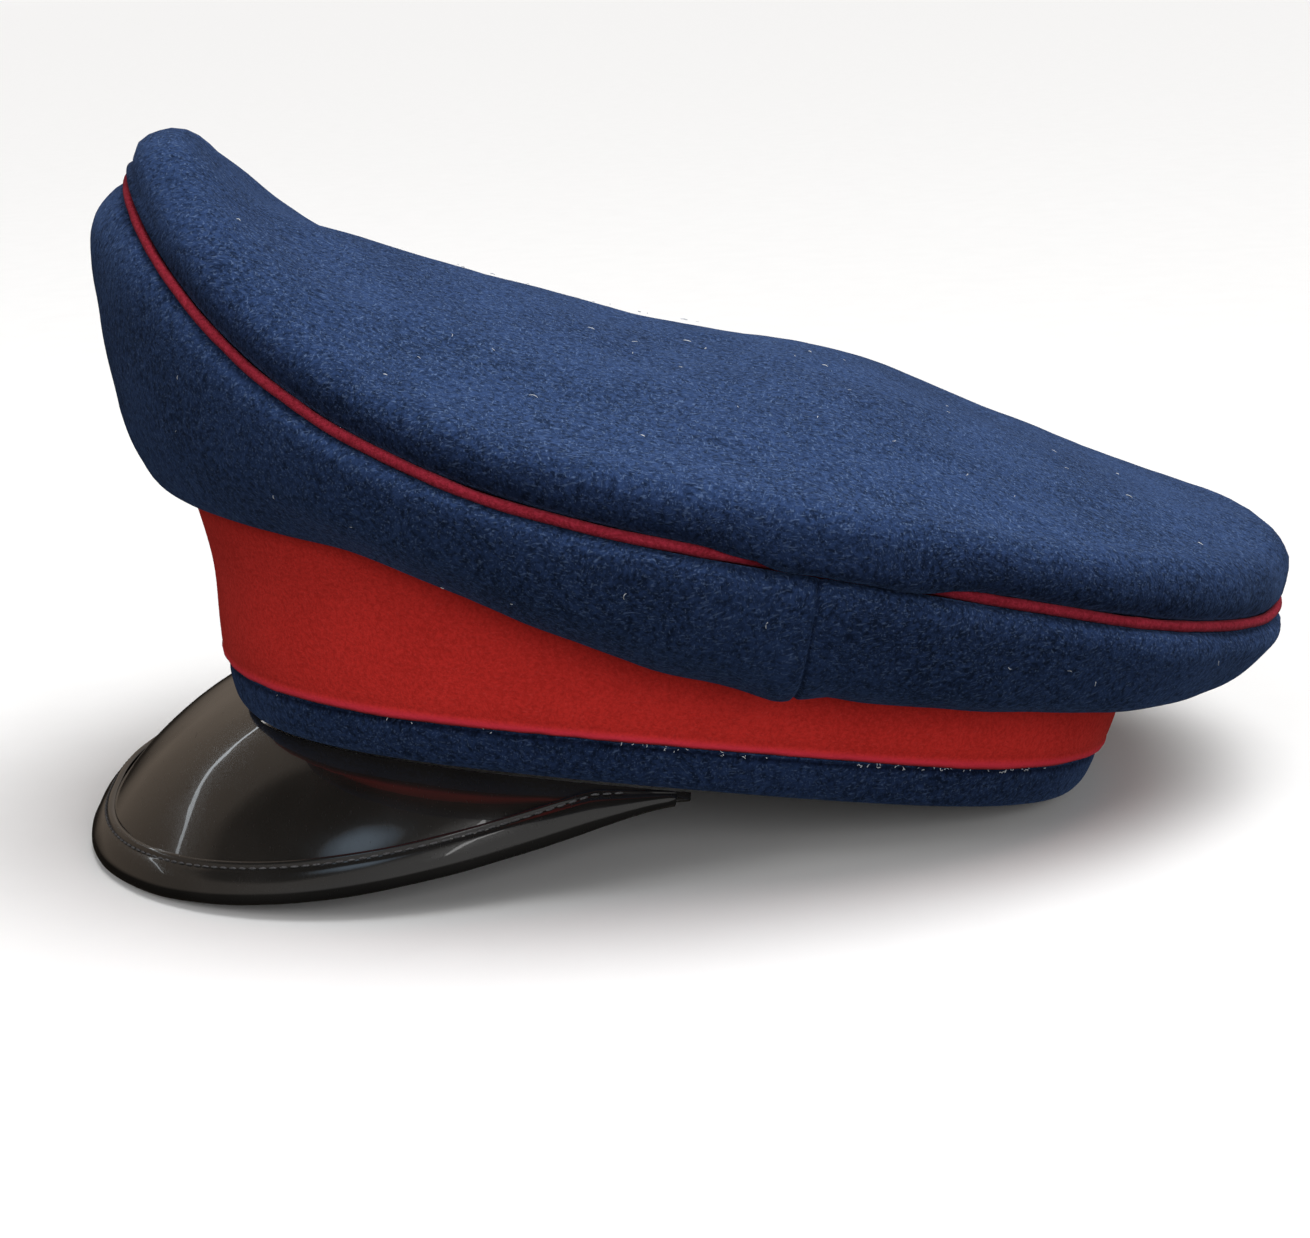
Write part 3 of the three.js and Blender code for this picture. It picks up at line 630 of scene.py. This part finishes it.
def top_section(a, n=70):
    t, edge = turn_of(a), seam(a)
    middle = np.array([0, CROWN_BACK])
    way = edge[:2] - middle
    radius = np.linalg.norm(way)
    way = way / radius
    out, wide, high = ROLL_W*table(RIM, t, 1), ROLL_W*table(RIM, t, 2), ROLL_H*table(RIM, t, 3)
    foot = CORD - 0.35 + CLOTH/2
    waist = foot + (high - foot)*WAIST
    pts = [[radius*r, top_height(a, r) - CLOTH/2] for r in (0.0005, 0.1, 0.2, 0.42, 0.62, 0.78)]
    for g in (85, 50, 20, -12, -48, -90):
        s, k = math.sin(g*D), math.cos(g*D)
        if g > 0:
            pts.append([radius + out - wide*(1 - k), edge[2] + waist + (high - waist)*s])
        else:
            sagging = over_hang(t)*math.sin(-2*g*D)
            pts.append([radius - 0.9 + (out + 0.9)*k + HANG_OUT*sagging,
                        edge[2] + waist + (waist - foot)*s - HANG_DOWN*sagging])
    under, over = faces_of(smooth(pts, n), CLOTH)
    return [np.stack([middle[0] + way[0]*q[:, 0], middle[1] + way[1]*q[:, 0], q[:, 1]], 1)
            for q in (over, under)]


ang = ring_angles(0.75)
secs = [top_section(a) for a in ang]
grid, row = outer_grid(secs)
sag = uneven(grid, (85, 0.7, 11), (34, 0.25, 12), (12, 0.06, 13))
pull = np.sin(ang*64 + 1.3*np.sin(ang*7))[:, None] * bell(1 - row, 0.07) * 0.09
pull = pull + np.sin(ang*31 + 2*np.sin(ang*5))[:, None] * bell(1 - row, 0.16) * 0.09
# painted shade under the rolled rim, above the piping
painted_shade = (bell(1 - row, 0.03)*0.6 + bell(1 - row, 0.1)*0.35) * np.ones((len(ang), 1))
relief = (sag + pull) * between(row, (0.0, 0.05), (1.0, 0.03))
top = shell("crown_top_cloth", secs, navy, attr={"painted_shade": painted_shade}, relief=relief)
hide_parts("crown_top")


# Piping: a covered cord, a little uneven along its length
def tube(name, centre, across, up, radius, sides, mat):
    n = len(centre)
    th = np.arange(sides) / sides * 2*math.pi
    p = (centre[:, None] + across[:, None]*(np.cos(th)[None, :, None]*radius[:, None, None])
         + up[:, None]*(np.sin(th)[None, :, None]*radius[:, None, None]))
    u = np.repeat(np.linspace(0, TURN_UV, n)[:, None], sides, 1)
    v = np.repeat(np.linspace(0, 0.01, sides)[None, :], n, 0)
    return add(name, world(p), ring_faces(n, sides), mat, np.stack([u.ravel(), v.ravel()], 1))


def cord_out(t):
    """How far the cord stands out of its seam; the rim hides it behind the side seams and at the front."""
    return 0.3 - 2.0*over_hang(t) - 1.3*bell(t, 22)


ang = ring_angles(1.0)
centre = np.array([seam(a) for a in ang])
way = centre[:, :2] - [0, CROWN_BACK]
way = np.concatenate([way / np.linalg.norm(way, axis=1, keepdims=True), np.zeros((len(way), 1))], 1)
centre = centre + way*np.array([cord_out(turn_of(a)) for a in ang])[:, None]
centre[:, 2] += wave(centre, 30, 21)*0.18
upright = np.repeat([[0, 0, 1.0]], len(centre), 0)
thick = CORD + 0.06*wave(centre, 9, 22)
cord = tube("piping_cord", centre, way, upright, thick, 14, cordred)
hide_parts("piping")


# Band: flared cloth with a folded lower edge
def band_section(a):
    top = band_top(a)
    fold = WELT_H + np.array([0, 0.05, 0.2, 0.5, 0.9, 1.4, 1.9, 2.3, 2.6, 2.9, 3.3, 3.9])
    heights = np.concatenate([fold, np.linspace(WELT_H + 4.9, top - 1, 22), [top - 0.5, top - 0.2, top]])
    lap = WELT_H + TONGUE + GAP_WELT
    outer, inner = [], []
    for h in heights:
        up = h - WELT_H
        bulge = 0.3*bell(up - 1.2, 1.0) - 0.06*bell(up - 3.0, 0.6)
        edge = -1.0*max(0, 1 - up/0.9)**2 - 0.9*max(0, 1 - (top - h)/0.9)**2
        wall = WALL - TONGUE_WALL - GAP_WELT if h < lap else WALL
        outer.append(band_point(a, flare(h) + PROUD + bulge + edge, h))
        inner.append(band_point(a, flare(h) - wall, h))
    return np.array(outer), np.array(inner), heights


ang = ring_angles(2.0)
secs = [band_section(a) for a in ang]
grid = outer_grid(secs)[0]
over_welt = np.array([s[2] for s in secs]) - WELT_H
# painted highlight on the folded lower edge
hem_highlight = bell(over_welt - 1.1, 1.0) * 0.8
# painted shade at the band's lower edge over the welt, and faintly above its fold
painted_shade = np.clip(bell(over_welt - 3.0, 0.6)*0.12 + bell(over_welt, 0.25), 0, 1)
relief = uneven(grid, (60, 0.35, 31), (17, 0.05, 32)) + bell(over_welt - 1.2, 1.2)*uneven(grid, (9, 0.12, 33))
band = shell("band_cloth", secs, red, attr={"hem_highlight": hem_highlight, "painted_shade": painted_shade}, relief=relief)
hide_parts("band")


# Welt: a rounded strip under the band, with its tongue inside
def welt_section(a):
    shoulder, tip = WELT_H - GAP_WELT, WELT_H + TONGUE
    line = smooth([
        [0.5 - WELT_WALL, 0],
        [-1.4, 0.05],
        [-0.1, 0.8],
        [flare(2.8) + 0.35, 2.8],
        [flare(6) + 0.5, 6],
        [flare(9) + 0.25, 9],
        [flare(shoulder) - 0.5, shoulder - 0.1]], 22)
    tongue = [[flare(z) - WELT_WALL + TONGUE_WALL, z] for z in (shoulder, tip)]
    line = np.vstack([line, tongue])
    heights = np.linspace(0.4, tip, len(line))
    outer = np.array([band_point(a, x, z) for x, z in line])
    inner = np.array([band_point(a, flare(z)*min(1, z/2.4) - WELT_WALL, z) for z in heights])
    return outer, inner


secs = [welt_section(a) for a in ang]
grid, row = outer_grid(secs)
relief = uneven(grid, (50, 0.25, 41), (13, 0.1, 42)) * between(row, (0.12, 0.1), (0.86, 0.08))
# painted shade at the welt's top, under the band's lower edge
painted_shade = bell(row - 0.87, 0.04) * np.ones((len(ang), 1))
welt = shell("welt_cloth", secs, navy, attr={"painted_shade": painted_shade}, relief=relief)
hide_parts("welt")


# Peak: a bulged sheet
def peak_frame(share):
    """Where the peak leaves the welt: its root, the way down, its normal and its reach."""
    a = share * PEAK_TURN * D
    n = band_normal(a)
    slope = (PEAK_SF + (PEAK_SS - PEAK_SF)*share**2) * D
    reach = PEAK_L * max(0, 1 - abs(share)**PEAK_FULL)**PEAK_TAPER
    c, s = math.cos(slope), math.sin(slope)
    return (band_point(a, -PEAK_SEAT, -GAP_WELT), np.array([n[0]*c, n[1]*c, -s]),
            np.array([n[0]*s, n[1]*s, c]), reach)


def peak_point(fr, along, up):
    root, down, normal, reach = fr
    s = along / reach
    steep = 4*PEAK_BULGE*(1 - 2*min(1, s)) / PEAK_L
    swell = 4*PEAK_BULGE*s*(1 - s)*reach/PEAK_L if s < 1 else steep*(along - reach)
    n = normal - down*steep
    return root + down*along + normal*swell + n/np.linalg.norm(n)*up


def shares(n, last):
    """Shares of the half turn from one side to the other, closer together towards the ends."""
    u = 2*np.arange(n+1)/n - 1
    return last*u*(1.18 - 0.18*u*u)


secs = []
for share in shares(140, 0.975):
    fr = peak_frame(share)
    # rows close to the hidden edge keep its shading off the top face
    places = np.concatenate([[0, 0.02, 0.06], np.linspace(0.15, fr[3], 29)])
    secs.append([np.array([peak_point(fr, x, up) for x in places]) for up in (0, -PEAK_T)])
relief = uneven(outer_grid(secs)[0], (60, 0.16, 51), (24, 0.035, 52))
peak = shell("peak_leather", secs, patent_top, loop=False, relief=relief)
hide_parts("peak")


# Binding: a folded strip round the peak's edge, dimpled along its stitches
def fit_of(reach):
    """Share of the binding's width that the peak's reach leaves room for."""
    return min(1.0, 0.8*reach/WIDE)


def binding_profile(reach, thin):
    fit = fit_of(reach)
    over, under = GAP + STRIP*thin, -PEAK_T - 0.5
    skin = under - 1.1*thin

    def nose(share):
        return 0.5 + (NOSE*share - 0.5)*thin
    outer = smooth([
        [-WIDE*fit, GAP + 0.1],
        [(0.35 - WIDE)*fit, over - 0.35],
        [-6.9*fit, over - 0.05],
        [-STITCH_IN*fit, over - 0.3],
        [-4.6*fit, over + 0.02],
        [-2.0*fit, over + 0.12],
        [0.2, over - 0.3*thin],
        [nose(0.85), 0.1],
        [nose(1), -1.2],
        [nose(0.7), -PEAK_T - 0.7],
        [-0.6, skin],
        [-6*fit, skin]], 44)
    inner = smooth([
        [-WIDE*fit, GAP - 0.05],
        [-0.6, GAP - 0.05],
        [0.5, GAP - 0.2],
        [0.5, -1],
        [0.5, under],
        [-0.6, under],
        [-6*fit, under]], 44)
    return outer, inner


secs = []
for share in shares(204, BIND_END):
    fr = peak_frame(share)
    thin = 0.2 + 0.8*min(1, max(0, BIND_END - abs(share))/0.09)
    secs.append([np.array([peak_point(fr, fr[3] + x, y) for x, y in line])
                 for line in binding_profile(fr[3], thin)])
relief = uneven(outer_grid(secs)[0], (22, 0.07, 61))
bind = shell("peak_binding_leather", secs, patent_bind, loop=False, relief=relief)
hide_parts("peak_binding")


# Stitches and lint: short threads
def strand_faces(rings, sides, first):
    """Faces of a closed thread of rings, whose first point has the number first."""
    faces = []
    for k in range(rings - 1):
        for j in range(sides):
            here, over = first + k*sides, (j+1) % sides
            faces.append((here + j, here + over, here + sides + over, here + sides + j))
    last = first + (rings - 1)*sides
    return faces + [tuple(first + j for j in range(sides))[::-1], tuple(last + j for j in range(sides))]


def round_ring(mid, x, y, radius, sides):
    turns = [j/sides*2*math.pi for j in range(sides)]
    return [mid + x*math.cos(t)*radius + y*math.sin(t)*radius for t in turns]


def beads(name, items, mat):
    """Short rounded threads, drawn in at their ends; items are (centre, way, length, radius, normal)."""
    verts, faces = [], []
    places, sides = (-1, -0.8, -0.3, 0.3, 0.8, 1), 6
    for c, d, length, r, n in items:
        d = d / np.linalg.norm(d)
        x = np.cross(n, d)
        x /= np.linalg.norm(x)
        faces += strand_faces(len(places), sides, len(verts))
        for k in places:
            mid = c + d*k*length/2 + n*(0.35*r*(1 - k*k) - 0.35*r)
            verts += round_ring(mid, x, n, r*math.sqrt(max(0.04, 1 - abs(k)**2.5)), sides)
    return add(name, world(np.array(verts)), faces, mat)


def strands(name, items, mat):
    """Bent threads with pointed ends: items are (points, radius)."""
    verts, faces = [], []
    sides = 4
    for pts, r in items:
        last = len(pts) - 1
        faces += strand_faces(len(pts), sides, len(verts))
        for k, p in enumerate(pts):
            d = pts[min(k+1, last)] - pts[max(k-1, 0)]
            x = np.cross(d, [0.3, 0.2, 0.9])
            x /= np.linalg.norm(x)
            y = np.cross(d, x)
            y /= np.linalg.norm(y)
            verts += round_ring(p, x, y, r*(0.5 if k in (0, last) else 1), sides)
    return add(name, world(np.array(verts)), faces, mat)


def along_path(q, dist, path):
    return np.array([np.interp(q, dist, path[:, j]) for j in range(3)])


line, above = [], []
for share in np.linspace(-0.93, 0.93, 900):
    fr = peak_frame(share)
    place = fr[3] - STITCH_IN*fit_of(fr[3])
    line.append(peak_point(fr, place, GAP + STRIP - 0.12))
    above.append(peak_point(fr, place, GAP + STRIP + 1.5))
line, above = np.array(line), np.array(above)
dist = np.concatenate([[0], np.cumsum(np.linalg.norm(np.diff(line, axis=0), axis=1))])
items = []
for q in np.arange(1.5, dist[-1] - 1.5, STITCH_PITCH):
    c = along_path(q, dist, line)
    n = along_path(q, dist, above) - c
    items.append((c, along_path(q + 0.3, dist, line) - c, STITCH_L, STITCH_R, n/np.linalg.norm(n)))
beads("peak_stitches", items, black_thread)

# Lint: a few pale hairs caught on the cloth and in the joint of band and welt
rs = np.random.RandomState(5)


def hair(c, n, length, r):
    """A bent hair that lies on the cloth at c."""
    n = n / np.linalg.norm(n)
    d = np.cross(n, rs.normal(size=3))
    d /= np.linalg.norm(d)
    e = np.cross(n, d)
    bend = rs.uniform(-0.5, 0.5)
    pts = []
    for u in np.linspace(0, 1, 6):
        lift = 0.12 + r*0.5 + length*0.06*math.sin(u*3.1)
        pts.append(c + n*lift + d*length*(u-0.5) + e*bend*length*(u-0.5)**2*2)
    return pts, r


def cloth_hairs(count, section, turns, rows, away, lengths, radii):
    """Hairs at random places of a cloth whose section is given; away tells which way is outwards."""
    found = []
    for _ in range(count):
        a = rs.uniform(*turns)*D*rs.choice([-1, 1])
        s = section(a, 40)[0]
        k = rs.randint(*rows)
        beside = section(a + 0.02, 40)[0]
        n = np.cross(s[k+1] - s[k], beside[k] - s[k])
        n = n if away(n, s[k]) > 0 else -n
        found.append(hair(s[k] + n/np.linalg.norm(n)*0.3, n, rs.uniform(*lengths), rs.uniform(*radii)))
    return found


def from_inside(n, p):
    return np.dot(n, p - np.array([0, CROWN_BACK, 40]))


def from_axis(n, p):
    return np.dot(n[:2], p[:2])


items = cloth_hairs(60, top_section, (20, 175), (6, 38), from_inside, (0.6, 2.1), (0.06, 0.13))
items += cloth_hairs(40, side_section, (10, 178), (14, 37), from_axis, (0.5, 1.7), (0.05, 0.11))
strands("lint_on_cloth", items, lint_fibre)
items = []
for _ in range(130):
    turns = [rs.uniform(84, 96), rs.uniform(104, 138), rs.uniform(20, 178)]
    a = rs.choice(turns, p=[0.25, 0.5, 0.25])*D*rs.choice([-1, 1])
    n = np.array([*band_normal(a), 0.2])
    place = band_point(a, flare(WELT_H - 0.2) + 0.1, WELT_H - 0.4 + rs.uniform(-0.6, 0.5))
    items.append(hair(place, n, rs.uniform(0.3, 1.0), rs.uniform(0.06, 0.12)))
strands("lint_in_joint", items, lint_fibre)


# Floor: flat near the cap, then a bowl that rises slowly behind it, so no horizon shows
FLOOR_FLAT, FLOOR_REACH, FLOOR_RISE, FLOOR_UNDER = 60.0, 400.0, 150.0, 0.0005


def floor():
    m, t, p = material("pale_floor", 0.85)
    n = noise(t, object_place(t), 40.0, 2.0)
    pale = mixc(t, level(t, n, 0.3, 0.7), (0.885, 0.885, 0.885), (0.9, 0.9, 0.9))
    t.links.new(pale, p.inputs["Base Color"])
    me = bpy.data.meshes.new("floor")
    sides, steps = 48, 8
    pts, rise = [], []
    for u in np.linspace(0, 1, steps + 1):
        r, z = FLOOR_FLAT + (FLOOR_REACH - FLOOR_FLAT)*u, FLOOR_RISE*u**3 - FLOOR_UNDER
        pts += [(r*math.cos(k/sides*2*math.pi), r*math.sin(k/sides*2*math.pi), z) for k in range(sides)]
    for b in range(0, steps*sides, sides):
        for k in range(sides):
            over = (k+1) % sides
            rise.append((b + k, b + k + sides, b + over + sides, b + over))
    me.from_pydata(pts, [], [tuple(range(sides)), *rise])
    me.shade_smooth()
    o = bpy.data.objects.new("floor", me)
    bpy.context.scene.collection.objects.link(o)
    me.materials.append(m)
    o.visible_diffuse = o.visible_glossy = False


floor()


# Lights: a broad overhead one, two soft fills that nothing mirrors, and two narrow ones that the peak mirrors
def light(name, kind, power, mirrored):
    lamp = bpy.data.lights.new(name, kind)
    lamp.energy = power
    o = bpy.data.objects.new(name, lamp)
    bpy.context.scene.collection.objects.link(o)
    o.visible_glossy = mirrored
    return lamp, o


def area(name, pos, aim, power, size, narrow=None, colour=WHITE, mirrored=True):
    lamp, o = light(name, "AREA", power, mirrored)
    lamp.color, lamp.size = colour, size
    if narrow:
        lamp.shape, lamp.size_y = "ELLIPSE", narrow
    way = (Vector(aim) - Vector(pos)).to_track_quat("-Z", "Y")
    o.matrix_world = Matrix.Translation(pos) @ way.to_matrix().to_4x4()


sun, so = light("sky_panel", "SUN", 2.75, False)
sun.angle = 50*D
so.rotation_euler = Vector((-0.12, -0.35, -1.0)).to_track_quat("-Z", "Y").to_euler()
area("side_fill", (1.5, 0.5, 0.28), (0, 0, 0.07), power=15, size=1.1, mirrored=False)
area("front_fill", (0.9, -1.4, 0.9), (0, -0.05, 0.07), power=9, size=0.9, mirrored=False)
area("strip_front", (-0.98, -1.14, 0.76), (0, -0.12, 0.03), power=0.3, size=1.5, narrow=0.035,
     colour=(0.86, 0.94, 1.0))
area("strip_side", (1.0, -0.25, 1.35), (0, -0.08, 0.03), power=0.5, size=0.07, narrow=0.9)

# World: dim, warmer at the photo's left, dark high in front where the peak mirrors it, with one soft
# bluish window there
w = bpy.data.worlds.new("studio")
bpy.context.scene.world = w
w.use_nodes = True
t = w.node_tree
back = t.nodes["Background"]
way = node(t, "ShaderNodeTexCoord").outputs["Generated"]


def towards(direction):
    """How much the light's direction agrees with this one, -1 to 1."""
    return vector(t, "DOT_PRODUCT", {0: way, 1: direction})["Value"]


dark = towards(Vector((0.0, -0.5, 0.87)).normalized())
right_back = towards((0.707, 0.707, 0.0))
glow = towards(Vector((0.28, -0.45, 0.85)).normalized())
high = node(t, "ShaderNodeSeparateXYZ", {0: way}).outputs["Z"]
patch = ramp(t, dark, [(0.0, 1), (0.86, 1), (0.905, 0.2), (0.955, 0.12)])
power = maths(t, "MULTIPLY", level(t, right_back, -1.0, 0.6, 0.17, 0.42), patch)
power = maths(t, "MULTIPLY", power, level(t, high, -0.12, 0.06, 0.06, 1.0))
power = maths(t, "ADD", power, level(t, glow, 0.985, 0.9985, 0.0, 1.1))
t.links.new(power, back.inputs["Strength"])
tint = mixc(t, level(t, right_back, -0.95, 0.2), (1.0, 0.8, 0.63), (1.0, 0.99, 0.98))
t.links.new(mixc(t, level(t, glow, 0.985, 0.99), tint, (0.62, 0.80, 1.0)), back.inputs["Color"])
bpy.context.scene.view_settings.view_transform = "Standard"

# Camera: where the photograph was taken from, in the cap's own frame in millimetres
CAM_EYE = (680.5, -62.1, 172.4)
CAM_LOOK = (-0.9722, 0.0851, -0.2181)
CAM_UP = (-0.2256, -0.0904, 0.970)
CAM_LENS, CAM_SENSOR = 75.85, 36.0


def turned(v):
    c, s = math.cos(PITCH), math.sin(PITCH)
    return np.array([v[0], v[1]*c - v[2]*s, v[1]*s + v[2]*c])


cam = bpy.data.cameras.new("camera")
cam.sensor_fit, cam.sensor_width, cam.lens = "HORIZONTAL", CAM_SENSOR, CAM_LENS
cam.clip_start, cam.clip_end = 0.01, 1000
co = bpy.data.objects.new("camera", cam)
bpy.context.scene.collection.objects.link(co)
eye = (turned(CAM_EYE) + SHIFT) * MM
look = Vector(turned(CAM_LOOK)).normalized()
right = look.cross(Vector(turned(CAM_UP))).normalized()
up = right.cross(look).normalized()
co.matrix_world = Matrix((
    (right.x, up.x, -look.x, eye[0]),
    (right.y, up.y, -look.y, eye[1]),
    (right.z, up.z, -look.z, eye[2]),
    (0, 0, 0, 1)))
bpy.context.scene.camera = co
